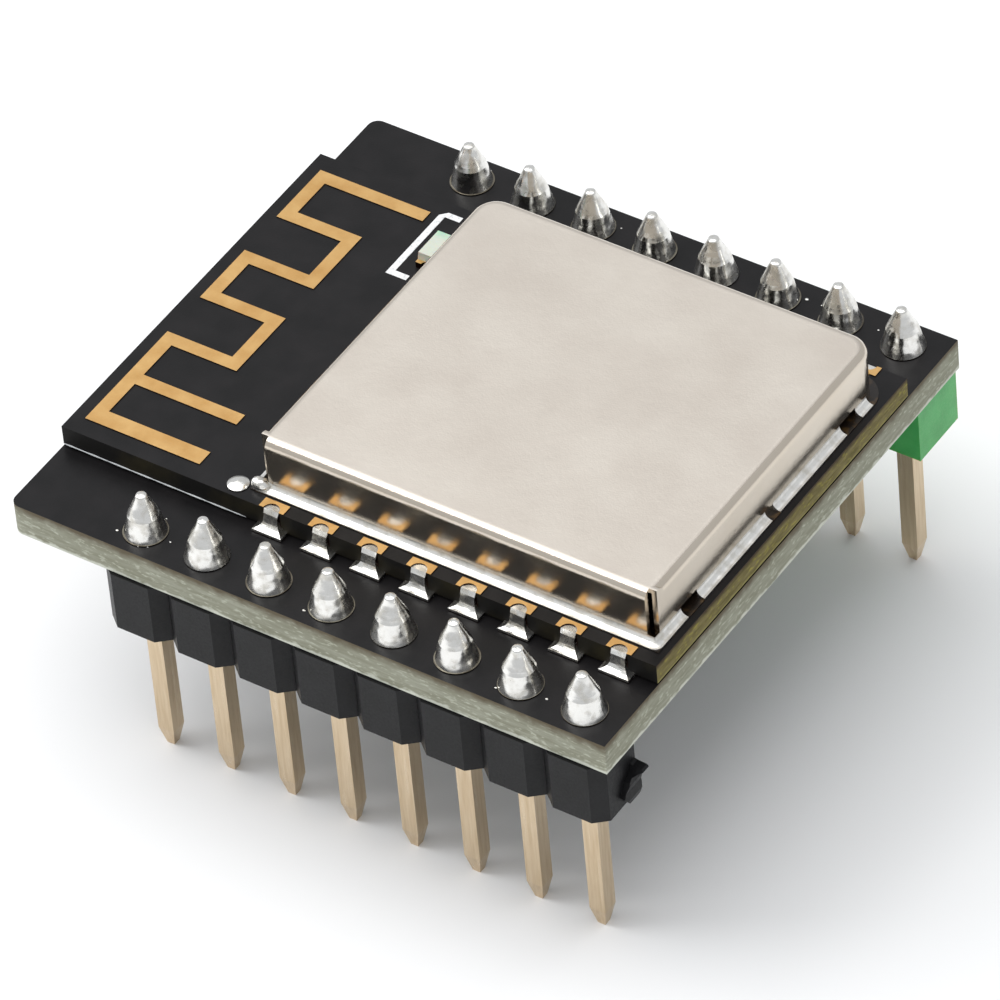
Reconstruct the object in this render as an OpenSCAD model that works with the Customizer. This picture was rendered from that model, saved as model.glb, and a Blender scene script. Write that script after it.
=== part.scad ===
// A wireless circuit module on a carrier board with two rows of square pins.
// Millimetres, +Z up. X runs along the pin rows, with the antenna at the low end.
// The near side is -Y. The origin is under the middle of the part, at the pin tips.

/* [Pins] */
// Distance between neighbouring pins in a row
pin_pitch = 2.54; // [2.4:0.01:2.6]
// Pins in each row
pin_count = 8; // [2:1:8]
// From the long edges of the module board to the pin rows, which stand 20.32 apart
row_gap = 2.16; // [1.9:0.01:5]
// Side of the square wire
pin_w = 0.64; // [0.5:0.02:0.7]
// Length of a pin below its plastic strip
pin_tail = 6.2; // [3:0.1:12]
// Length of a pin above the carrier board
pin_rise = 1.65; // [1.45:0.05:2]
// Length of the tapered tip at the lower end
tip_len = 0.8; // [0.4:0.1:1.4]
// Side of the square at the end of a lower tip
tip_w = 0.3; // [0.2:0.05:0.4]
// Length of the taper at the upper end
crown_len = 0.8; // [0.4:0.05:1]
// Side of the square at the end of an upper tip
crown_w = 0.24; // [0.2:0.02:0.46]

/* [Pin strips] */
// Height of the moulded strips
strip_h = 2.54; // [1.5:0.02:4]
// Width of the strips, across the row
strip_w = 2.5; // [2:0.05:2.6]
// Depth of the notches between the blocks of a strip
notch_depth = 0.42; // [0.2:0.02:0.6]
// Length along the row of the slope at each end of a block
notch_slope = 0.5; // [0.2:0.02:0.6]
// Gap round each pin in its strip
pin_clearance = 0.01; // [0.01:0.01:0.05]
// Reach of the torn burr where the near strip was snapped off
burr_len = 0.55; // [0.3:0.05:0.8]

/* [Boards] */
// From the antenna end of the boards to the shield can
antenna_zone = 7.775; // [7.5:0.005:10]
// From the pin rows to the long edges of the carrier board
carrier_margin = 1.14; // [0.9:0.02:2]
// Thickness of the carrier board
carrier_t = 1.3; // [0.8:0.1:2]
// Radius of the carrier board's two corners at the antenna end
carrier_corner_r = 0.4; // [0.2:0.1:2]
// Width of the module board
module_w = 16; // [15.8:0.1:17]
// Thickness of the module board
module_t = 0.8; // [0.4:0.1:1.6]
// From the last pin to the end of the boards
end_margin = 1.5; // [1.3:0.05:2]
// Thickness of the copper on both boards
foil_t = 0.04; // [0.02:0.01:0.06]

/* [Plated holes] */
// Gap between a pin's corners and the plated wall of its hole
hole_clearance = 0.05; // [0.02:0.01:0.1]
// Width of the copper ring round each hole
ring_w = 0.3; // [0.2:0.02:0.36]
// Thickness of the solder over a pin's corners
pin_skin = 0.04; // [0.02:0.01:0.1]
// Height of the solder over the top of a pin
tip_cover = 0.08; // [0.04:0.01:0.2]
// Gap between the solder in a hole and the plated wall
fill_gap = 0.01; // [0.01:0.01:0.02]

/* [Edge pads] */
// Distance between neighbouring edge pads
edge_pitch = 2; // [1.6:0.05:2.1]
// Edge pads on each long side
edge_count = 8; // [2:1:8]
// Diameter of the half holes in the module board's edges
edge_hole_d = 0.7; // [0.5:0.05:0.8]
// Width of the pads round the half holes
edge_pad_w = 1; // [0.95:0.05:1.3]
// Reach of the pads in from the module board's edge
edge_pad_l = 0.45; // [0.42:0.01:0.6]
// Width of the carrier board's lands under the edge pads
land_w = 1.2; // [1.1:0.05:1.4]
// Reach of the lands out from the module board's edge
land_out = 0.42; // [0.3:0.02:0.6]
// Width of the solder where it climbs a half hole
stem_w = 0.6; // [0.4:0.02:0.6]
// Thickness of the solder at the outer end of a land
foot_h = 0.1; // [0.05:0.01:0.15]

/* [Antenna] */
// Width of the antenna trace
trace_w = 0.53; // [0.4:0.01:0.6]
// Width of the grounded arm
ground_arm_w = 0.67; // [0.4:0.01:0.8]
// From the end of the board to the antenna
antenna_inset = 0.51; // [0.2:0.01:0.6]
// From the near long edge of the module board to the grounded arm
antenna_margin = 0.7; // [0.5:0.01:0.9]
// From the far long edge of the module board to the last arm
antenna_far_margin = 0.75; // [0.5:0.01:0.9]
// From the grounded arm to the feed arm, between centres
feed_step = 2.18; // [1.8:0.01:2.4]
// From the feed arm to the first arm of the zigzag, between centres
tail_step = 2.23; // [1.8:0.01:2.4]
// Between zigzag arms joined at the end of the board, between centres
narrow_step = 2.25; // [1.8:0.01:2.35]
// Length of the zigzag arms
zigzag_l = 3.25; // [2.5:0.01:4]
// Length of the feed arm and of the grounded arm
feed_l = 4.77; // [4:0.01:5]
// Length of the last arm
last_arm_l = 4.65; // [4:0.01:5]

/* [Shield can] */
// Reach of the shield can past the centres of the first and last edge pads
can_overhang = 0.93; // [0.5:0.005:1.2]
// Height of the shield can
can_h = 2.2; // [2:0.05:4]
// Thickness of the sheet that it is folded from
sheet_t = 0.2; // [0.1:0.02:0.3]
// Outer radius of the folds along the top
bend_r = 0.35; // [0.32:0.02:0.5]
// Radius of the two corners on the far side
can_corner_r = 0.9; // [0.6:0.05:2]
// Opening of the seams at the two corners on the near side
seam_gap = 0.1; // [0.05:0.01:0.3]
// Gap between the edge pads and the copper that the can is soldered to
ground_gap = 0.1; // [0.05:0.01:0.5]
// From the plain end of the boards to the can
can_end_inset = 0.565; // [0.5:0.005:1.2]
// Width of the gaps between the can's feet
foot_gap_w = 1; // [0.6:0.1:2]
// Height of the gaps between the can's feet
foot_gap_h = 0.35; // [0.2:0.05:0.6]
// From the can's corners to the middle of the gaps in its walls
foot_gap_at = 2.1; // [1.5:0.05:4]
// Width and height of the solder along the foot of the can
bead_w = 0.3; // [0.2:0.02:0.34]
// Break in the solder half way along a wall
bead_break = 0.5; // [0.2:0.1:1]
// Reach of the ground copper in under the can, from the can's inner face
ground_in = 0.3; // [0.1:0.05:0.5]

/* [Indicator light] */
// Length of the indicator light
led_l = 1.6; // [1.4:0.05:2]
// Width of the indicator light
led_w = 0.8; // [0.6:0.05:1]
// Thickness of its base
led_base_h = 0.25; // [0.2:0.05:0.4]
// Thickness of its clear body
led_lens_h = 0.35; // [0.2:0.05:0.5]
// Length of its metal end caps
led_cap_l = 0.28; // [0.2:0.02:0.4]
// From the can's end wall to the light's centre
led_gap = 1.125; // [0.9:0.005:1.8]
// From the far edge of the module board to the light's centre
led_from_edge = 2.55; // [2.3:0.05:4]

/* [Test point] */
// Diameter of the test point
dot_d = 0.78; // [0.6:0.02:0.9]
// Height of the solder on the test point
dot_h = 0.14; // [0.05:0.01:0.25]
// From the near edge of the module board to the test point's centre
dot_from_edge = 0.56; // [0.5:0.02:0.6]
// From the can's end wall to the test point's centre
dot_gap = 0.79; // [0.79:0.01:1.2]

/* [Inner parts] */
// Gap between the parts inside the can
inner_gap = 0.3; // [0.2:0.05:0.35]
// Side of the square radio chip
radio_w = 5; // [4:0.1:6]
// Thickness of the radio chip
radio_h = 0.85; // [0.6:0.05:1.2]
// Length of the memory chip
memory_l = 4.9; // [4:0.1:5.2]
// Width of the memory chip, without its legs
memory_w = 3.9; // [3:0.1:4.2]
// Height of the memory chip
memory_h = 1.45; // [1:0.05:1.6]
// Reach of the memory chip's legs
leg_reach = 1; // [0.8:0.05:1.2]
// Distance between the memory chip's legs
leg_pitch = 1.27; // [1:0.01:1.3]
// Length of the crystal
crystal_l = 3.2; // [2:0.1:3.4]
// Width of the crystal
crystal_w = 2.5; // [1.6:0.1:2.6]
// Thickness of the crystal
crystal_h = 0.7; // [0.5:0.05:1]
// Length of the small two-ended parts
small_l = 1; // [0.6:0.05:1.1]
// Width of the small two-ended parts
small_w = 0.5; // [0.3:0.05:0.6]
// Thickness of the small two-ended parts
small_h = 0.35; // [0.2:0.05:0.5]
// Gap between neighbours in a block of small parts
small_gap = 0.45; // [0.3:0.05:0.5]

/* [Hidden] */
$fn = 48;

// Heights of the faces, from the pin tips up
strip_bottom = pin_tail;
strip_top = strip_bottom + strip_h;
carrier_bottom = strip_top + foil_t;
carrier_top = carrier_bottom + carrier_t;
land_top = carrier_top + foil_t;
module_bottom = land_top + foil_t;
module_top = module_bottom + module_t;
pad_top = module_top + foil_t;
pin_top = carrier_top + pin_rise;

// The can spans the rows of edge pads, and both boards are as long as it and the antenna need
can_l = (edge_count - 1) * edge_pitch + 2 * can_overhang;
board_l = antenna_zone + can_l + can_end_inset;

// The part's ends, counted from the antenna end of the boards
last_pin = board_l - end_margin;
first_pin = last_pin - (pin_count - 1) * pin_pitch;
strip_end = last_pin + pin_pitch / 2;
part_low = min(0, first_pin - pin_pitch / 2);
part_high = max(board_l, strip_end + burr_len);

// Places along X
board_x = -(part_low + part_high) / 2;
first_pin_x = board_x + first_pin;
can_x = board_x + antenna_zone;
can_mid_x = can_x + can_l / 2;
first_edge_x = can_x + can_overhang;

// Places along Y
module_y = module_w / 2;
row_y = module_y + row_gap;
carrier_w = 2 * (row_y + carrier_margin);
can_inset = edge_pad_l + ground_gap + bead_w;
can_w = module_w - 2 * can_inset;
can_y = can_inset - module_y;
can_mid_y = can_y + can_w / 2;

// Plated holes
hole_r = pin_w / sqrt(2) + hole_clearance;
barrel_r = hole_r + foil_t;
ring_r = hole_r + ring_w;
edge_r = edge_hole_d / 2;
edge_lining_r = edge_r - foil_t;

// A length that cutters run past the faces they cut
past = 1;

// Colours
mask_black = [0.15, 0.14, 0.15];
gold = [0.83, 0.66, 0.38];
solder_grey = [0.78, 0.79, 0.77];
pin_gold = [0.85, 0.77, 0.66];
can_metal = [0.86, 0.83, 0.79];
strip_black = [0.16, 0.16, 0.17];
strip_green = [0.2, 0.6, 0.3];
epoxy_black = [0.1, 0.1, 0.11];

SIDE_NODES = [
    for (side = ["near", "far"])
        for (part = ["plated_holes", "lands", "edge_plating", "edge_solder", "strip", "pin_solder"])
            str(side, "_", part)
];
PIN_NODES = [for (side = ["near", "far"]) for (i = [1:pin_count]) str(side, "_pin_", i)];

// ---- helpers ----

// What a near-side module draws, or its mirror image on the far side
module on_side(side) {
    if (side == "far") mirror([0, 1, 0]) children();
    else children();
}

// One copy for each pin of the near row, with the pin's axis on X = Y = 0
module at_pins() {
    for (i = [0:pin_count - 1])
        translate([first_pin_x + i * pin_pitch, -row_y, 0]) children();
}

// One copy for each edge pad on the near side, with the board's edge on Y = 0
module at_edge_pads() {
    for (i = [0:edge_count - 1])
        translate([first_edge_x + i * edge_pitch, -module_y, 0]) children();
}

// An outline in Y and Z, drawn out along X from low to high
module along_x(low, high) {
    translate([low, 0, 0]) rotate([90, 0, 90]) linear_extrude(high - low) children();
}

// An outline in X and Z, drawn out along Y from low to high
module along_y(low, high) {
    translate([0, high, 0]) rotate([90, 0, 0]) linear_extrude(high - low) children();
}

// A rectangle whose corners at the high-Y side are rounded
module far_rounded(l, w, r) {
    square([l, w - r]);
    translate([r, 0]) square([l - 2 * r, w]);
    for (x = [r, l - r]) translate([x, w - r]) circle(r);
}

// ---- boards ----

module carrier_board() {
    color(mask_black) difference() {
        translate([board_x, -carrier_w / 2, carrier_bottom]) linear_extrude(carrier_t) {
            r = carrier_corner_r;
            translate([r, 0]) square([board_l - r, carrier_w]);
            translate([0, r]) square([board_l, carrier_w - 2 * r]);
            for (y = [r, carrier_w - r]) translate([r, y]) circle(r);
        }
        for (side = ["near", "far"]) on_side(side) at_pins()
            translate([0, 0, carrier_bottom - past]) cylinder(h = carrier_t + 2 * past, r = barrel_r);
    }
}

module module_board() {
    color(mask_black) difference() {
        translate([board_x, -module_y, module_bottom]) cube([board_l, module_w, module_t]);
        for (side = ["near", "far"]) on_side(side) at_edge_pads()
            translate([0, 0, module_bottom - past]) cylinder(h = module_t + 2 * past, r = edge_r);
    }
}

// ---- plated holes of the carrier board ----

// The copper wall of a hole and the ring at each end of it
module plated_hole() {
    low = carrier_bottom - foil_t;
    rotate_extrude() polygon([
        [hole_r, low], [ring_r, low], [ring_r, carrier_bottom], [barrel_r, carrier_bottom],
        [barrel_r, carrier_top], [ring_r, carrier_top], [ring_r, land_top], [hole_r, land_top]
    ]);
}

module plated_holes(side) {
    color(gold) on_side(side) at_pins() plated_hole();
}

// ---- pins, strips and their solder ----

// The outline of a pin from one side: a bar with a tapered end at the bottom and the top
module pin_outline() {
    w = pin_w / 2;
    polygon([
        [-tip_w / 2, 0], [tip_w / 2, 0], [w, tip_len], [w, pin_top - crown_len],
        [crown_w / 2, pin_top], [-crown_w / 2, pin_top], [-w, pin_top - crown_len], [-w, tip_len]
    ]);
}

module pin_shape() {
    intersection() {
        along_x(-pin_w, pin_w) pin_outline();
        along_y(-pin_w, pin_w) pin_outline();
    }
}

module pin(side, number) {
    color(pin_gold) on_side(side)
        translate([first_pin_x + (number - 1) * pin_pitch, -row_y, 0]) pin_shape();
}

// One long edge of a strip's outline, in order along X: each block is narrower at its ends
function strip_edge(side) = [
    for (i = [0:pin_count - 1])
        for (p = [[-1, 1], [-1, 0], [1, 0], [1, 1]])
            [
                i * pin_pitch + p[0] * (pin_pitch / 2 - (1 - p[1]) * notch_slope),
                side * (strip_w / 2 - p[1] * notch_depth)
            ]
];

function backwards(list) = [for (i = [len(list) - 1:-1:0]) list[i]];

module strip_body() {
    difference() {
        translate([first_pin_x, -row_y, strip_bottom]) linear_extrude(strip_h)
            polygon(concat(strip_edge(-1), backwards(strip_edge(1))));
        at_pins() translate([0, 0, strip_bottom + strip_h / 2])
            cube([pin_w + 2 * pin_clearance, pin_w + 2 * pin_clearance, strip_h + 2 * past], center = true);
    }
}

// The torn plastic left on the last block's end face where the strip was snapped
module burr() {
    neck = strip_w / 2 - notch_depth;
    root = -0.3;
    reach = burr_len;
    h = strip_h;
    translate([board_x + strip_end, -row_y, strip_bottom]) intersection() {
        along_y(-neck, neck) polygon([
            [root, 0.06 * h], [0.3 * reach, 0.02 * h], [0.42 * reach, 0.12 * h],
            [0.34 * reach, 0.27 * h], [0.48 * reach, 0.38 * h], [0.4 * reach, 0.46 * h],
            [reach, 0.55 * h], [0.86 * reach, 0.58 * h], [0.2 * reach, 0.59 * h], [root, 0.66 * h]
        ]);
        along_x(root, reach) polygon([
            [-0.25 * neck, 0.2 * h], [0.2 * neck, 0], [0.9 * neck, 0.03 * h], [neck, 0.2 * h],
            [neck, 0.6 * h], [0.7 * neck, 0.66 * h], [0.5 * neck, 0.5 * h], [0.1 * neck, 0.42 * h]
        ]);
    }
}

module near_strip() {
    color(strip_black) {
        strip_body();
        burr();
    }
}

// The last block's end face where the far strip was sawn off: it has the block's full width
module sawn_end() {
    translate([board_x + strip_end - notch_slope, -row_y - strip_w / 2, strip_bottom])
        cube([notch_slope, strip_w, strip_h]);
}

module far_strip() {
    color(strip_green) mirror([0, 1, 0]) {
        strip_body();
        sawn_end();
    }
}

// Half the width of a pin at a height above the carrier board
function pin_half_w(z) =
    crown_w / 2 + (pin_w - crown_w) / 2 * min(1, (pin_rise - z) / crown_len);

// Radius of a joint at a height above the carrier board: it covers the pin's corners and
// spreads towards the foot, at the share u of the pin's height
function joint_r(z, u, foot) =
    let (corner = pin_half_w(z) * sqrt(2) + pin_skin)
        corner + (foot - corner) * pow(1 - u, 1.7);

// The solder of one pin: it fills the hole, stands as a cone round the pin and closes over its end
module pin_joint(number) {
    fill_r = hole_r - fill_gap;
    cone_h = pin_rise - foil_t;
    cap_h = tip_cover * (1 + 0.25 * sin(number * 77));
    foot = ring_r - 0.02 * (1 + sin(number * 131));
    steps = 10;
    difference() {
        rotate_extrude() polygon(concat(
            [[0, carrier_bottom - foil_t], [fill_r, carrier_bottom - foil_t], [fill_r, land_top]],
            [for (i = [0:steps]) let (u = i / steps, z = foil_t + cone_h * u)
                [joint_r(z, u, foot), carrier_top + z]],
            [for (a = [30, 60]) [joint_r(pin_rise, 1, foot) * cos(a), pin_top + cap_h * sin(a)]],
            [[0, pin_top + cap_h]]
        ));
        pin_shape();
    }
}

module pin_solder(side) {
    color(solder_grey) on_side(side) for (i = [1:pin_count])
        translate([first_pin_x + (i - 1) * pin_pitch, -row_y, 0])
            pin_joint(side == "far" ? i + pin_count : i);
}

// ---- edge pads of the module board ----

module lands(side) {
    color(gold) on_side(side) at_edge_pads()
        translate([-land_w / 2, -land_out, carrier_top]) cube([land_w, land_out + edge_pad_l, foil_t]);
}

// The copper that lines a half hole, with a pad on each face of the board
module edge_lining() {
    difference() {
        union() {
            for (z = [module_bottom - foil_t, module_top])
                translate([-edge_pad_w / 2, 0, z]) cube([edge_pad_w, edge_pad_l, foil_t]);
            translate([0, 0, module_bottom]) intersection() {
                cylinder(h = module_t, r = edge_r);
                translate([-edge_r, 0, 0]) cube([2 * edge_r, edge_r, module_t]);
            }
        }
        translate([0, 0, module_bottom - past]) cylinder(h = module_t + 2 * past, r = edge_lining_r);
    }
}

module edge_plating(side) {
    color(gold) on_side(side) at_edge_pads() edge_lining();
}

// Points of a hollow curve from (x0, z0) to (x1, z1), steep at the second end
function hollow(x0, z0, x1, z1) = [
    for (i = [0:6]) let (a = 15 * i) [x0 + (x1 - x0) * sin(a), z0 + (z1 - z0) * (1 - cos(a))]
];

// Solder that spreads over a land, climbs the half hole and ends just under the pad's face
module edge_joint() {
    climb = module_t + foil_t;
    skirt = 0.45 * climb;
    stem = min(stem_w / 2, edge_lining_r);
    front = 0.3 * land_out;
    intersection() {
        union() {
            translate([-land_w / 2, -land_out, land_top]) cube([land_w, land_out, climb]);
            translate([0, 0, land_top]) cylinder(h = climb, r = edge_lining_r);
        }
        along_x(-land_w, land_w) translate([0, land_top]) polygon(concat(
            [[edge_r, 0], [-land_out, 0]],
            hollow(-land_out, foot_h, -front, skirt),
            [[-0.5 * front, 0.8 * climb], [0.2 * front, climb], [edge_r, climb]]
        ));
        along_y(-land_w, land_w) translate([0, land_top]) polygon(concat(
            [[-land_w / 2, 0], [land_w / 2, 0]],
            hollow(land_w / 2, foot_h, stem, skirt),
            [[0.92 * stem, 0.7 * climb], [stem, climb], [-stem, climb], [-0.92 * stem, 0.7 * climb]],
            backwards([for (p = hollow(land_w / 2, foot_h, stem, skirt)) [-p[0], p[1]]])
        ));
    }
}

module edge_solder(side) {
    color(solder_grey) on_side(side) at_edge_pads() edge_joint();
}

// ---- antenna ----

// An arm of the antenna: its centre line's distance from the near edge, length and width
module arm(y, l, w) {
    translate([antenna_inset, y - w / 2]) square([l, w]);
}

// A link between two arms, at the given distance from the antenna's edge
module link(x, from_y, to_y) {
    translate([antenna_inset + x, from_y - trace_w / 2]) square([trace_w, to_y - from_y + trace_w]);
}

module antenna_trace() {
    ground_y = antenna_margin + ground_arm_w / 2;
    feed_y = ground_y + feed_step;
    tail_y = feed_y + tail_step;
    last_y = module_w - antenna_far_margin - trace_w / 2;
    wide_step = (last_y - tail_y) / 2 - narrow_step;
    pair_step = wide_step + narrow_step;
    arms = [tail_y, tail_y + wide_step, tail_y + pair_step, last_y - narrow_step, last_y];
    turn_x = zigzag_l - trace_w;
    color(gold) translate([board_x, -module_y, module_top]) linear_extrude(foil_t) {
        arm(ground_y, feed_l, ground_arm_w);
        arm(feed_y, feed_l, trace_w);
        for (i = [0:3]) arm(arms[i], zigzag_l, trace_w);
        arm(arms[4], last_arm_l, trace_w);
        translate([antenna_inset, antenna_margin]) square([trace_w, arms[0] - antenna_margin]);
        link(turn_x, arms[0], arms[1]);
        link(0, arms[1], arms[2]);
        link(turn_x, arms[2], arms[3]);
        link(0, arms[3], arms[4]);
    }
}

// ---- shield can ----

// A block with folds of radius r along its four top edges and rounded corners on the far side
module folded_block(l, w, h, corner, r) {
    linear_extrude(h - r) far_rounded(l, w, corner);
    translate([r, r, 0]) linear_extrude(h) far_rounded(l - 2 * r, w - 2 * r, corner - r);
    translate([0, 0, h - r]) {
        intersection() {
            union() {
                translate([0, r, 0]) rotate([0, 90, 0]) cylinder(h = l, r = r);
                translate([r, r, 0]) cube([l - 2 * r, r, r]);
            }
            translate([r, 0, 0]) rotate([-90, 0, 0]) translate([-r, -r, 0]) cube([l, r, w]);
        }
        for (x = [r, l - r]) translate([x, r, 0]) rotate([-90, 0, 0]) cylinder(h = w - corner - r, r = r);
        translate([corner, w - r, 0]) rotate([0, 90, 0]) cylinder(h = l - 2 * corner, r = r);
        for (x = [corner, l - corner]) translate([x, w - corner, 0])
            rotate_extrude() {
                square([corner - r, r]);
                intersection() {
                    translate([corner - r, 0]) circle(r);
                    translate([0, -r]) square(corner + r);
                }
            }
    }
}

// Gaps between the feet, cut in every wall but the near one
module foot_gaps() {
    wall = sheet_t + ground_in;
    for (s = [-1, 1]) {
        for (x = [can_x, can_x + can_l])
            translate([x, can_mid_y + s * (can_w / 2 - foot_gap_at), pad_top])
                cube([2 * wall, foot_gap_w, 2 * foot_gap_h], center = true);
        translate([can_mid_x + s * (can_l / 2 - foot_gap_at), can_y + can_w, pad_top])
            cube([foot_gap_w, 2 * wall, 2 * foot_gap_h], center = true);
    }
}

module shield_can() {
    seam = sheet_t + seam_gap;
    color(can_metal) difference() {
        translate([can_x, can_y, pad_top]) folded_block(can_l, can_w, can_h, can_corner_r, bend_r);
        translate([can_x + sheet_t, can_y + sheet_t, pad_top - past])
            folded_block(
                can_l - 2 * sheet_t,
                can_w - 2 * sheet_t,
                can_h + past - sheet_t,
                can_corner_r - sheet_t,
                bend_r - sheet_t
            );
        for (x = [can_x - past, can_x + can_l - seam])
            translate([x, can_y - past, pad_top - past]) cube([seam + past, seam + past, can_h + 2 * past]);
        foot_gaps();
    }
}

module can_ground_copper() {
    reach = sheet_t + ground_in;
    color(gold) translate([can_x, can_y, module_top]) linear_extrude(foil_t) difference() {
        translate([-bead_w, -bead_w])
            far_rounded(can_l + 2 * bead_w, can_w + 2 * bead_w, can_corner_r + bead_w);
        translate([reach, reach]) square([can_l - 2 * reach, can_w - 2 * reach]);
    }
}

// Section of the solder along a wall, with the wall's foot on the corner at (0, 0)
module bead_section() {
    polygon(concat([[0, 0], [bead_w, 0]], hollow(bead_w, 0.15 * bead_w, 0, bead_w)));
}

// Solder along a straight wall that faces -Y, between two places on X
module bead(low, high) {
    translate([high, 0, 0]) rotate([90, 0, -90]) linear_extrude(high - low) bead_section();
}

// The runs of solder along a wall, from its middle out and broken at the gap between its
// feet, where half is half the wall's length and corner is the length that its corner takes
module broken_bead(half, corner) {
    bead(bead_break / 2, half - foot_gap_at - foot_gap_w / 2);
    bead(half - foot_gap_at + foot_gap_w / 2, half - corner);
}

module can_solder() {
    color(solder_grey) translate([can_mid_x, can_mid_y, pad_top]) {
        translate([0, -can_w / 2, 0]) bead(-can_l / 2, can_l / 2);
        translate([0, can_w / 2, 0]) mirror([0, 1, 0]) for (s = [0, 1]) mirror([s, 0, 0])
            broken_bead(can_l / 2, can_corner_r);
        for (s = [0, 1]) mirror([s, 0, 0]) translate([can_l / 2, 0, 0]) rotate([0, 0, 90]) {
            broken_bead(can_w / 2, can_corner_r);
            mirror([1, 0, 0]) broken_bead(can_w / 2, 0);
        }
        for (s = [0, 1]) mirror([s, 0, 0]) translate([can_l / 2, -can_w / 2, 0])
            rotate([0, 0, -90]) rotate_extrude(angle = 90) bead_section();
    }
}

// ---- test point and indicator light ----

module at_test_point() {
    translate([can_x - dot_gap, dot_from_edge - module_y, 0]) children();
}

module test_point_pad() {
    color(gold) at_test_point() translate([0, 0, module_top]) cylinder(h = foil_t, d = dot_d);
}

// A shallow cap of solder, cut from a ball
module test_point_solder() {
    r = dot_d / 2;
    ball_r = (r * r + dot_h * dot_h) / (2 * dot_h);
    color(solder_grey) at_test_point() translate([0, 0, pad_top]) intersection() {
        translate([0, 0, dot_h - ball_r]) sphere(ball_r);
        cylinder(h = 2 * dot_h, r = r);
    }
}

module at_led() {
    translate([can_x - led_gap, module_y - led_from_edge, module_top]) children();
}

module led_base() {
    l = led_l - 2 * led_cap_l;
    color("ivory") at_led() translate([-led_w / 2, -l / 2, 0]) cube([led_w, l, led_base_h]);
}

// The metal caps that wrap the two ends of the base
module led_end_caps() {
    notch_r = led_w / 5;
    color(gold) at_led() for (s = [0, 1]) mirror([0, s, 0]) difference() {
        translate([-led_w / 2, led_l / 2 - led_cap_l, 0]) cube([led_w, led_cap_l, led_base_h]);
        translate([0, led_l / 2, -past]) cylinder(h = led_base_h + 2 * past, r = notch_r);
    }
}

// The clear body: a bar whose long sides lean in a little
module led_lens() {
    l = led_l - 1.2 * led_cap_l;
    lean = 0.06 * led_w;
    color([0.85, 0.92, 0.85]) at_led() along_y(-l / 2, l / 2) polygon([
        [-led_w / 2, led_base_h], [led_w / 2, led_base_h],
        [led_w / 2 - lean, led_base_h + led_lens_h], [-led_w / 2 + lean, led_base_h + led_lens_h]
    ]);
}

// ---- parts inside the can ----

// The ground copper's inner edges
inner_low = [can_x + sheet_t + ground_in, can_y + sheet_t + ground_in];
inner_high = [can_x + can_l - sheet_t - ground_in, can_y + can_w - sheet_t - ground_in];

// Sizes of the blocks of small parts
capacitor_rows = 5;
resistor_columns = 3;
resistor_rows = 2;
coil_columns = 2;
function block_l(columns) = columns * small_l + (columns - 1) * small_gap;
function block_w(rows) = rows * small_w + (rows - 1) * small_gap;

// Low corners of the parts inside the can: one column stands beside the antenna's end, and
// the memory chip and the resistors stand at the other end
capacitor_x = inner_low[0] + inner_gap;
radio_x = capacitor_x + block_l(1) + inner_gap;
coil_y = inner_low[1] + inner_gap;
radio_y = coil_y + block_w(1) + 3 * inner_gap;
crystal_y = radio_y + radio_w + 2 * inner_gap;
capacitor_y = radio_y + (radio_w - block_w(capacitor_rows)) / 2;
memory_x = inner_high[0] - inner_gap - memory_l;
memory_y = inner_high[1] - 2 * inner_gap - leg_reach - memory_w;
resistor_x = inner_high[0] - inner_gap - block_l(resistor_columns);

// A block on the board with its first corner marked by a shallow round dimple
module chip_body(l, w, h) {
    dimple_r = 0.3;
    dimple_h = 0.05;
    dimple_in = 0.6;
    difference() {
        cube([l, w, h]);
        translate([dimple_in, w - dimple_in, h - dimple_h]) cylinder(h = past, r = dimple_r);
    }
}

module radio_chip() {
    color(epoxy_black) translate([radio_x, radio_y, module_top]) chip_body(radio_w, radio_w, radio_h);
}

module memory_chip() {
    stand_off = 0.1;
    color(epoxy_black) translate([memory_x, memory_y, module_top + stand_off])
        chip_body(memory_l, memory_w, memory_h - stand_off);
}

// A bent leg, from the chip's side down to the board, in Y and Z
module leg_outline() {
    t = 0.15;
    top = memory_h / 2;
    foot = 0.4 * leg_reach;
    polygon([
        [0, top], [leg_reach - foot, top], [leg_reach - foot + t, t], [leg_reach, t],
        [leg_reach, 0], [leg_reach - foot, 0], [leg_reach - foot - t, top - t], [0, top - t]
    ]);
}

module memory_legs() {
    leg_w = 0.4;
    color("silver") translate([memory_x + memory_l / 2, memory_y + memory_w / 2, module_top])
        for (s = [0, 1]) mirror([0, s, 0]) translate([0, memory_w / 2, 0])
            for (i = [-1.5:1.5])
                along_x(i * leg_pitch - leg_w / 2, i * leg_pitch + leg_w / 2) leg_outline();
}

// A ceramic case with a stepped metal lid
module crystal() {
    rim = 0.2;
    lid_h = 0.2;
    color("silver") translate([radio_x, crystal_y, module_top]) {
        cube([crystal_l, crystal_w, crystal_h - lid_h]);
        translate([rim, rim, 0]) cube([crystal_l - 2 * rim, crystal_w - 2 * rim, crystal_h]);
    }
}

// A small two-ended part, with ends a little larger than its middle
module small_part() {
    cap = 0.25 * small_l;
    skin = 0.02;
    translate([0, skin, 0]) cube([small_l, small_w - 2 * skin, small_h - skin]);
    for (x = [0, small_l - cap]) translate([x, 0, 0]) cube([cap, small_w, small_h]);
}

// A block of small parts with its low corner at (x, y), in columns along X and rows along Y
module small_parts(x, y, columns, rows) {
    for (i = [0:columns - 1]) for (j = [0:rows - 1])
        translate([x + i * (small_l + small_gap), y + j * (small_w + small_gap), module_top])
            small_part();
}

module capacitors() {
    color("tan") small_parts(capacitor_x, capacitor_y, 1, capacitor_rows);
}

module resistors() {
    color("dimgray") small_parts(resistor_x, coil_y, resistor_columns, resistor_rows);
}

module coils() {
    color("slategray") small_parts(radio_x, coil_y, coil_columns, 1);
}

// ---- nodes ----

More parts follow.
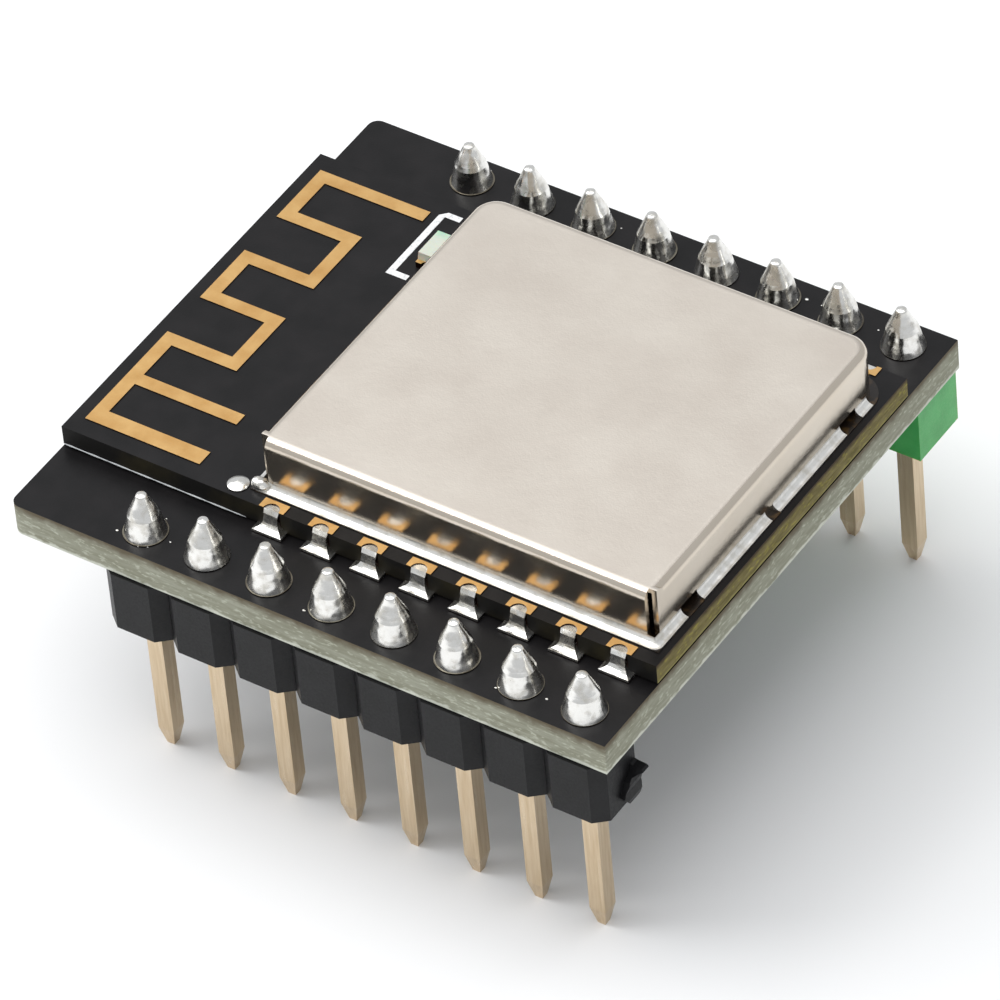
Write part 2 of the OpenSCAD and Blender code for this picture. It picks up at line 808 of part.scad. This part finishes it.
carrier_board();
module_board();
antenna_trace();
shield_can();
can_ground_copper();
can_solder();
test_point_pad();
test_point_solder();
led_base();
led_end_caps();
led_lens();
radio_chip();
memory_chip();
memory_legs();
crystal();
capacitors();
resistors();
coils();
plated_holes("near");  // near_plated_holes
plated_holes("far");  // far_plated_holes
lands("near");  // near_lands
lands("far");  // far_lands
edge_plating("near");  // near_edge_plating
edge_plating("far");  // far_edge_plating
edge_solder("near");  // near_edge_solder
edge_solder("far");  // far_edge_solder
near_strip();
far_strip();
pin_solder("near");  // near_pin_solder
pin_solder("far");  // far_pin_solder
for (i = [1:pin_count]) pin("near", i);
for (i = [1:pin_count]) pin("far", i);
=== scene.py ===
import math
import random

import bmesh
import bpy
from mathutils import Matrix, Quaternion, Vector


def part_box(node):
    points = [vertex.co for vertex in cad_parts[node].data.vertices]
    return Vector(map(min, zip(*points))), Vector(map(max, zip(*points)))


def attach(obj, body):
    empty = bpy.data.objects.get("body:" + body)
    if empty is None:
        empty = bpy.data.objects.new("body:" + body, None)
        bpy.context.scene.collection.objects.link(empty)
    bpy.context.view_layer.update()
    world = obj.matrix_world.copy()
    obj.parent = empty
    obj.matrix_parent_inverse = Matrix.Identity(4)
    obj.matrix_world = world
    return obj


MM = 0.001

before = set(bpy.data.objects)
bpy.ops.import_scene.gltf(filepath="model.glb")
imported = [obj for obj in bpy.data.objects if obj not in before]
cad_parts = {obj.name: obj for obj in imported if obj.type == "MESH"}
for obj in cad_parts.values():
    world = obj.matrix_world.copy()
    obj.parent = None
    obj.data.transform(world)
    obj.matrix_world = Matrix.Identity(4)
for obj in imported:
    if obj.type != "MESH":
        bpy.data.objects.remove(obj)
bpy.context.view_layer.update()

# Camera: where it looks, from which side in degrees, how far off, and how far it is rolled,
# then its lens and sensor in millimetres and the range of distances it sees
AIM = Vector((0.473, -0.438, 7.0)) * MM
AZIMUTH = -36.91
ELEVATION = 43.38
DISTANCE = 331.6 * MM
ROLL = -5.56
LENS = 346.53
SENSOR = 36
CLIP_NEAR = 10 * MM
CLIP_FAR = 10

# Soft boxes: name, place, side length and power, with the light of the room and the floor's
# reach to each side, all lengths in metres
LIGHTS = [
    ("soft_box_left", (-0.2, -0.06, 0.22), 0.22, 0.42),
    ("soft_box_top", (-0.05, 0.0, 0.5), 0.5, 1.2),
]
ROOM_TINT = "f3f5f8"
ROOM_LIGHT = 0.72
FLOOR_REACH = 3

# Printed bracket beside the indicator light: width and thickness of the ink, reach of the
# two turned ends, and its place
INK_W = 0.25 * MM
INK_T = 0.015 * MM
INK_TURN = 0.6 * MM
INK_LEFT = -6.785 * MM
INK_NEAR = 3.9 * MM
INK_FAR = 7.55 * MM

# Drops of solder: how many waves dent each one, how far their directions spread, and how deep
# and how close together they are
WAVES = 3
WAVE_SLANT = 2.5
WAVE_DEPTH = 0.07
WAVE_RATE = 2

# Solder blob at the can's near corner: half its size, and its place from that corner
BLOB_SIZE = Vector((0.34, 0.26, 0.22)) * MM
BLOB_PLACE = Vector((0.02, -0.08, 0.176)) * MM
BLOB_SEED = 3

# Specks spattered round the pin joints: distance from the pin, less across the row, and size
PINS_IN_ROW = 8
SPECKS = 22
SPECK_REACH = (1.0 * MM, 1.25 * MM)
SPECK_REACH_ACROSS = 0.7
SPECK_R = (0.03 * MM, 0.08 * MM)
SPECK_FORM = Vector((1, 0.8, 0.5))
SPECK_SEED = 11

# Pale tube along the foot of the module's near side, a painted highlight: its radius, the share
# of the side that it covers, how far its radius wavers, how thin its ends are, and its mesh
LIP_R = 0.035 * MM
LIP_SHARE = 0.315
LIP_WAVER = 0.25
LIP_WAVER_STEP = 1.9
LIP_END = 0.3
LIP_STATIONS = 24
LIP_SIDES = 8


# Colours and material nodes

def colour(hex_code):
    """The scene-linear colour of an sRGB hex code."""
    parts = [int(hex_code[i:i + 2], 16) / 255 for i in (0, 2, 4)]
    linear = [c / 12.92 if c <= 0.04045 else ((c + 0.055) / 1.055) ** 2.4 for c in parts]
    return (*linear, 1)


class Finish:
    """A node material in the making. Sizes are in metres, in the frame of the part."""

    def __init__(self, name):
        self.material = bpy.data.materials.new(name)
        self.material.use_nodes = True
        self.tree = self.material.node_tree
        self.shader = self.tree.nodes["Principled BSDF"]
        self.place = self.tree.nodes.new("ShaderNodeTexCoord").outputs["Object"]
        geometry = self.tree.nodes.new("ShaderNodeNewGeometry")
        self.normal = geometry.outputs["Normal"]

    def feed(self, socket, value):
        """Joins a socket to that one, or sets it to a hex colour or a plain value."""
        if isinstance(value, bpy.types.NodeSocket):
            self.tree.links.new(value, socket)
        elif isinstance(value, str):
            socket.default_value = colour(value)
        else:
            socket.default_value = value

    def set(self, **values):
        """Sets or joins sockets of the surface shader: base_color="ffffff", roughness=0.3."""
        names = {s.name.lower().replace(" ", "_"): s for s in self.shader.inputs}
        for name, value in values.items():
            self.feed(names[name], value)
        return self

    def math(self, operation, a, b=0.0, c=0.0):
        node = self.tree.nodes.new("ShaderNodeMath")
        node.operation = operation
        for socket, value in zip(node.inputs, (a, b, c)):
            self.feed(socket, value)
        return node.outputs[0]

    def stretched(self, scale):
        """The place on the part, with each axis multiplied by its scale."""
        node = self.tree.nodes.new("ShaderNodeVectorMath")
        node.operation = "MULTIPLY"
        self.feed(node.inputs[0], self.place)
        node.inputs[1].default_value = scale
        return node.outputs[0]

    def noise(self, grain, detail=3.0, rough=0.5, stretch=(1, 1, 1)):
        """Soft noise with features about as large as grain, in metres."""
        node = self.tree.nodes.new("ShaderNodeTexNoise")
        self.feed(node.inputs["Vector"], self.stretched(stretch))
        node.inputs["Scale"].default_value = 1 / grain
        node.inputs["Detail"].default_value = detail
        node.inputs["Roughness"].default_value = rough
        return node.outputs["Fac"]

    def spread(self, value, low, high, to_low=0.0, to_high=1.0):
        """Moves the range from low to high onto to_low to to_high, and stops at its ends."""
        node = self.tree.nodes.new("ShaderNodeMapRange")
        for socket, v in zip(node.inputs, (value, low, high, to_low, to_high)):
            self.feed(socket, v)
        return node.outputs[0]

    def blend(self, share, a, b):
        """Colour a where share is 0 and b where it is 1."""
        node = self.tree.nodes.new("ShaderNodeMix")
        node.data_type = "RGBA"
        self.feed(node.inputs[0], share)
        self.feed(node.inputs[6], a)
        self.feed(node.inputs[7], b)
        return node.outputs[2]

    def axis(self, vector, letter):
        node = self.tree.nodes.new("ShaderNodeSeparateXYZ")
        self.feed(node.inputs[0], vector)
        return node.outputs[letter]

    def facing(self, letter, low=0.5, high=0.7):
        """1 where the surface looks along that axis, either way, and 0 where it doesn't."""
        side = self.math("ABSOLUTE", self.axis(self.normal, letter))
        return self.spread(side, low, high)

    def bump(self, height, depth):
        """Dents the surface by a height from 0 to 1, depth metres deep."""
        node = self.tree.nodes.new("ShaderNodeBump")
        node.inputs["Strength"].default_value = 1
        node.inputs["Distance"].default_value = depth
        self.feed(node.inputs["Height"], height)
        self.feed(self.shader.inputs["Normal"], node.outputs[0])
        return self


# Materials

def laminate_edge(f, node, base, streak, fleck, upper, lip):
    """Sawn glass laminate: fibre streaks and flecks, browner above, with a pale lower lip that is
    a painted highlight.
    """
    low, high = (corner.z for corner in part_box(node))
    height = f.spread(f.axis(f.place, "Z"), low, high)
    streaks = f.noise(0.4 * MM, 4, 0.65, stretch=(0.3, 0.3, 2.5))
    flecks = f.noise(0.14 * MM, 2, 0.5, stretch=(0.5, 0.5, 1.4))
    ragged = f.math("MULTIPLY_ADD", f.noise(0.5 * MM, 3), 0.3, height)
    body = f.blend(f.spread(streaks, 0.38, 0.66), base, streak)
    body = f.blend(f.spread(flecks, 0.56, 0.7, 0, 0.7), body, fleck)
    body = f.blend(f.spread(ragged, 0.85, 1.1), body, upper)
    # Pale lower lip: a painted highlight along the foot of the edge
    return f.blend(f.spread(ragged, 0.26, 0.2), body, lip)


def masked_board(node, base, streak, fleck, upper, lip, dark_sides=False):
    """Black solder mask on the faces, bare laminate on the sawn edges."""
    f = Finish(node + "_laminate")
    flat = f.facing("Z")
    cloud = f.noise(1.2 * MM, 3)
    mask = f.blend(f.spread(cloud, 0.35, 0.7), "0f0e0f", "191718")
    edge = laminate_edge(f, node, base, streak, fleck, upper, lip)
    if dark_sides:
        stained = f.blend(f.spread(f.noise(2 * MM, 3), 0.45, 0.7), "0d0b09", "2b2614")
        edge = f.blend(f.facing("Y"), edge, stained)
    f.set(base_color=f.blend(flat, edge, mask))
    f.set(roughness=f.spread(flat, 0, 1, 0.7, 0.34), specular_ior_level=0.25)
    grain = f.math("ADD", f.noise(0.08 * MM, 2), f.noise(0.9 * MM, 2))
    return f.bump(grain, 0.003 * MM).material


def gold_plate(name="gold_plate", lit="dcb478", dull="cda165", rim="2a120a", rough=0.42):
    """Immersion gold on copper, matt and faintly pitted, with the foil's dark sides."""
    f = Finish(name)
    stain = f.noise(0.8 * MM, 3)
    metal = f.blend(f.spread(stain, 0.35, 0.7), lit, dull)
    f.set(base_color=f.blend(f.facing("Z", 0.3, 0.6), rim, metal), metallic=1.0)
    f.set(roughness=f.spread(f.noise(0.1 * MM, 2), 0.3, 0.7, rough - 0.05, rough + 0.1))
    return f.bump(f.noise(0.05 * MM, 2), 0.002 * MM).material


def bright_solder(name="bright_solder", rough=0.2, dimple=0.07 * MM):
    """Shiny tin and lead: smooth, with shallow dimples and a little dull frost."""
    f = Finish(name)
    frost = f.spread(f.noise(0.35 * MM, 2), 0.45, 0.7)
    f.set(base_color=f.blend(frost, "ecebe7", "d3d0c8"), metallic=1.0)
    f.set(roughness=f.spread(frost, 0, 1, rough, rough + 0.14))
    return f.bump(f.noise(0.6 * MM, 1), dimple).material


def can_sheet(name="can_sheet"):
    """Tinned sheet: satin rolled top, glossier drawn walls; the walls and bends are a darker tan
    than the top, a painted reflection of the dim surroundings.
    """
    f = Finish(name)
    top = f.facing("Z", 0.9, 0.99)
    grain = f.noise(0.07 * MM, 3, 0.6)
    cloud = f.noise(2.5 * MM, 2)
    tint = f.blend(f.spread(cloud, 0.3, 0.7), "ded6cb", "d5ccc1")
    # Painted reflection: the walls and bends get a darker tan than the top
    f.set(base_color=f.blend(top, f.blend(cloud, "cfc3b2", "d9d0c3"), tint), metallic=1.0)
    f.set(roughness=f.spread(top, 0, 1, 0.16, 0.42))
    return f.bump(f.math("ADD", grain, f.noise(0.4 * MM, 2)), 0.004 * MM).material


def pin_metal(name="pin_metal"):
    """Pale gold flash on square wire, drawn lengthwise."""
    f = Finish(name)
    drawn = f.noise(0.12 * MM, 3, 0.6, stretch=(1, 1, 0.06))
    f.set(base_color=f.blend(f.spread(drawn, 0.3, 0.7), "dcc9ad", "cbb595"), metallic=1.0)
    f.set(roughness=f.spread(drawn, 0.3, 0.7, 0.26, 0.38))
    return f.bump(drawn, 0.006 * MM).material


def moulded(name, deep, light, rough, clear=0.0, gloss=0.5):
    """Moulded nylon: fine matt skin with faint flow marks."""
    f = Finish(name)
    flow = f.noise(0.9 * MM, 3)
    f.set(base_color=f.blend(f.spread(flow, 0.3, 0.7), deep, light))
    f.set(roughness=f.spread(f.noise(0.1 * MM, 2), 0.3, 0.7, rough - 0.05, rough + 0.08))
    f.set(subsurface_weight=clear, subsurface_scale=0.6 * MM, specular_ior_level=gloss)
    return f.bump(f.noise(0.05 * MM, 3, 0.6), 0.006 * MM).material


def cloudy_resin(name="cloudy_resin"):
    """The light's clear lens over pale phosphor, greener towards its far end."""
    f = Finish(name)
    low, high = (corner.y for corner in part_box("led_lens"))
    along = f.spread(f.axis(f.place, "Y"), low, high)
    drift = f.math("MULTIPLY_ADD", f.noise(0.4 * MM, 2), 0.5, along)
    f.set(base_color=f.blend(f.spread(drift, 0.9, 1.3), "c9cfc2", "a5cdb2"))
    f.set(roughness=0.2, subsurface_weight=0.3, subsurface_scale=0.3 * MM)
    return f.bump(drift, 0.02 * MM).material


def masked_copper(name="masked_copper"):
    """The can's copper beside its solder: dark, with brown patches."""
    f = Finish(name)
    brown_patches = f.noise(0.3 * MM, 3)
    f.set(base_color=f.blend(f.spread(brown_patches, 0.5, 0.75), "1a120c", "5a4322"), roughness=0.3)
    return f.bump(brown_patches, 0.01 * MM).material


def ceramic(name, deep, light):
    """Fired chip body: chalky, with darker pores."""
    f = Finish(name)
    pores = f.noise(0.09 * MM, 3)
    f.set(base_color=f.blend(f.spread(pores, 0.35, 0.65), deep, light), roughness=0.55)
    return f.bump(pores, 0.004 * MM).material


def highlight_lip_skin(name="resist_lip"):
    """A painted highlight: pale, with greyer stretches."""
    f = Finish(name)
    # Painted highlight: the pale colour stands in for light caught along the module's foot
    f.set(base_color=f.blend(f.noise(0.4 * MM, 2), "dfe2e4", "9fa2a4"), roughness=0.2)
    return f.material


def white_ink(name="white_ink"):
    """Screen printed ink, thin enough in places for the board to grey it."""
    f = Finish(name)
    thin = f.noise(0.15 * MM, 3)
    f.set(base_color=f.blend(f.spread(thin, 0.5, 0.75), "e9eaea", "b4b6b8"), roughness=0.6)
    return f.bump(thin, 0.003 * MM).material


def studio_floor(name="studio_floor"):
    """Plain pale paper."""
    f = Finish(name)
    f.set(base_color=f.blend(f.noise(30 * MM, 2), "f1f1f1", "f4f4f4"), roughness=0.9)
    return f.bump(f.noise(0.5 * MM, 2), 0.002 * MM).material


def node_finishes():
    """Words in the names of the CAD nodes, each with its material. The first that fits counts."""
    gold = gold_plate()
    solder = bright_solder()
    tin = bright_solder("dull_tin")
    # The last colour given to each board is the pale lower lip of its edge, a painted highlight
    carrier = masked_board("carrier_board", "868674", "9b9c8c", "bdbfae", "5f5644", "c8cabd")
    module = masked_board(
        "module_board", "5d5528", "7d7248", "9a9038", "3a2c18", "857d4a", dark_sides=True
    )
    return [
        ("carrier_board", carrier),
        ("module_board", module),
        ("_pin_solder", solder),
        ("_edge_solder", solder),
        ("can_solder", bright_solder("satin_solder", 0.34, 0.05 * MM)),
        ("can_ground_copper", masked_copper()),
        ("_plated_holes", gold_plate("tinned_ring", "8a8578", "5a5348", "17100b", 0.4)),
        ("test_point_solder", solder),
        ("_pin_", pin_metal()),
        ("shield_can", can_sheet()),
        ("near_strip", moulded("black_nylon", "0b0b0c", "131315", 0.45, gloss=0.25)),
        ("far_strip", moulded("green_nylon", "2f9a45", "43ac57", 0.35, clear=0.25)),
        ("led_base", ceramic("white_laminate", "cfd2cc", "e4e6e0")),
        ("led_lens", cloudy_resin()),
        ("led_end_caps", gold),
        ("radio_chip", ceramic("radio_epoxy", "1b1b1c", "272728")),
        ("memory_chip", ceramic("memory_epoxy", "1c1c1d", "29292a")),
        ("memory_legs", tin),
        ("crystal", tin),
        ("capacitors", ceramic("tan_ceramic", "8a6f4c", "a5875f")),
        ("resistors", ceramic("dark_ceramic", "161616", "242424")),
        ("coils", ceramic("coil_ceramic", "30302e", "46463f")),
        ("", gold),
    ]


def dress_nodes():
    """Puts the finished material on every CAD node, by its name. The bare copper is gold."""
    finishes = node_finishes()
    for name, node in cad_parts.items():
        finish = next(material for word, material in finishes if word in name)
        for slot in node.material_slots:
            slot.material = finish


# Pieces

def in_scene(name, data):
    """A new object of the scene with that mesh, camera or light."""
    thing = bpy.data.objects.new(name, data)
    bpy.context.scene.collection.objects.link(thing)
    return thing


def mesh_object(name, bm, material):
    """A new mesh object with one material. It uses bm up."""
    mesh = bpy.data.meshes.new(name)
    bm.to_mesh(mesh)
    bm.free()
    mesh.materials.append(material)
    return in_scene(name, mesh)


def mesh_piece(name, bm, material, smooth=True):
    """A new mesh object that rides on the part."""
    bmesh.ops.recalc_face_normals(bm, faces=bm.faces)
    piece = mesh_object(name, bm, material)
    for polygon in piece.data.polygons:
        polygon.use_smooth = smooth
    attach(piece, "root")


def printed_bracket():
    """The white bracket printed round the indicator light."""
    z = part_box("module_board")[1].z
    left, right = INK_LEFT, INK_LEFT + INK_W + INK_TURN
    outline = [
        (right, INK_NEAR), (right, INK_NEAR + INK_W), (left + INK_W, INK_NEAR + INK_W),
        (left + INK_W, INK_FAR - INK_W), (right, INK_FAR - INK_W), (right, INK_FAR),
        (left + INK_W, INK_FAR), (left, INK_FAR - INK_W), (left, INK_NEAR),
    ]
    bm = bmesh.new()
    lower = [bm.verts.new((x, y, z)) for x, y in outline]
    upper = [bm.verts.new((x, y, z + INK_T)) for x, y in outline]
    bm.faces.new(lower)
    bm.faces.new(upper)
    for i in range(len(outline)):
        j = (i + 1) % len(outline)
        bm.faces.new((lower[i], lower[j], upper[j], upper[i]))
    mesh_piece("printed_bracket", bm, white_ink(), smooth=False)


def lump(name, centre, size, material, seed):
    """A small uneven drop of solder, where size is half its length along each axis."""
    dents = random.Random(seed)
    bm = bmesh.new()
    bmesh.ops.create_icosphere(bm, subdivisions=3, radius=1)
    waves = [
        Vector([dents.uniform(-WAVE_SLANT, WAVE_SLANT) for _ in range(3)])
        for _ in range(WAVES)
    ]
    for v in bm.verts:
        swell = 1 + sum(WAVE_DEPTH * math.sin(w.dot(v.co) * WAVE_RATE) for w in waves)
        v.co = centre + Vector([c * swell * s for c, s in zip(v.co, size)])
    mesh_piece(name, bm, material)


def corner_blob(solder):
    """The extra solder at the can's near corner at the antenna end."""
    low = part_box("shield_can")[0]
    lump("corner_blob", low + BLOB_PLACE, BLOB_SIZE, solder, BLOB_SEED)


def solder_specks(solder):
    """Specks spattered round the pin joints, half sunk in the board's face."""
    spread = random.Random(SPECK_SEED)
    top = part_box("carrier_board")[1].z
    for i in range(SPECKS):
        side = spread.choice(("near", "far"))
        low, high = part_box(f"{side}_pin_{spread.randint(1, PINS_IN_ROW)}")
        angle = spread.uniform(0, math.tau)
        reach = spread.uniform(*SPECK_REACH)
        r = spread.uniform(*SPECK_R)
        x = (low.x + high.x) / 2 + reach * math.cos(angle)
        y = (low.y + high.y) / 2 + reach * math.sin(angle) * SPECK_REACH_ACROSS
        lump(f"speck_{i + 1}", Vector((x, y, top)), SPECK_FORM * r, solder, i)


def resist_lip():
    """A pale line along the foot of the module's near side, painted as its highlight."""
    low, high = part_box("module_board")
    length = (high.x - low.x) * LIP_SHARE
    bm = bmesh.new()
    rings = []
    for i in range(LIP_STATIONS + 1):
        x = low.x + length * i / LIP_STATIONS
        r = LIP_R * (1 - LIP_WAVER + LIP_WAVER * math.sin(i * LIP_WAVER_STEP))
        if i in (0, LIP_STATIONS):
            r *= LIP_END
        angles = [math.tau * k / LIP_SIDES for k in range(LIP_SIDES)]
        rings.append([
            bm.verts.new((x, low.y - LIP_R + r * math.cos(a), low.z + LIP_R + r * math.sin(a)))
            for a in angles
        ])
    for ring, following in zip(rings, rings[1:]):
        for k in range(LIP_SIDES):
            j = (k + 1) % LIP_SIDES
            bm.faces.new((ring[k], ring[j], following[j], following[k]))
    bm.faces.new(rings[0])
    bm.faces.new(rings[-1])
    mesh_piece("resist_lip", bm, highlight_lip_skin())


# Studio

def make_camera():
    """The camera, at the viewing angle of the reference."""
    data = bpy.data.cameras.new("camera")
    data.lens = LENS
    data.sensor_width = SENSOR
    data.clip_start = CLIP_NEAR
    data.clip_end = CLIP_FAR
    camera = in_scene("camera", data)
    a, e = math.radians(AZIMUTH), math.radians(ELEVATION)
    back = Vector((-math.sin(a) * math.cos(e), -math.cos(a) * math.cos(e), math.sin(e)))
    camera.location = AIM + back * DISTANCE
    camera.rotation_mode = "QUATERNION"
    turn = Quaternion((0, 0, 1), math.radians(ROLL))
    camera.rotation_quaternion = (-back).to_track_quat("-Z", "Y") @ turn
    bpy.context.scene.camera = camera


def area_light(name, place, size, power):
    """A square soft box at that place, aimed at the part."""
    data = bpy.data.lights.new(name, "AREA")
    data.size = size
    data.energy = power
    lamp = in_scene(name, data)
    lamp.location = Vector(place)
    lamp.rotation_mode = "QUATERNION"
    lamp.rotation_quaternion = (AIM - lamp.location).to_track_quat("-Z", "Y")


def lay_floor():
    """The plain paper that the part stands on."""
    bm = bmesh.new()
    bmesh.ops.create_grid(bm, x_segments=1, y_segments=1, size=FLOOR_REACH)
    floor = mesh_object("floor", bm, studio_floor())


def light_room():
    """The soft boxes, and even light from all round."""
    for light in LIGHTS:
        area_light(*light)
    world = bpy.data.worlds.new("studio")
    world.use_nodes = True
    background = world.node_tree.nodes["Background"]
    background.inputs["Color"].default_value = colour(ROOM_TINT)
    background.inputs["Strength"].default_value = ROOM_LIGHT
    bpy.context.scene.world = world
    bpy.context.scene.view_settings.view_transform = "Standard"


make_camera()
lay_floor()
light_room()
dress_nodes()
printed_bracket()
spatter = bright_solder("spatter")
corner_blob(spatter)
solder_specks(spatter)
resist_lip()
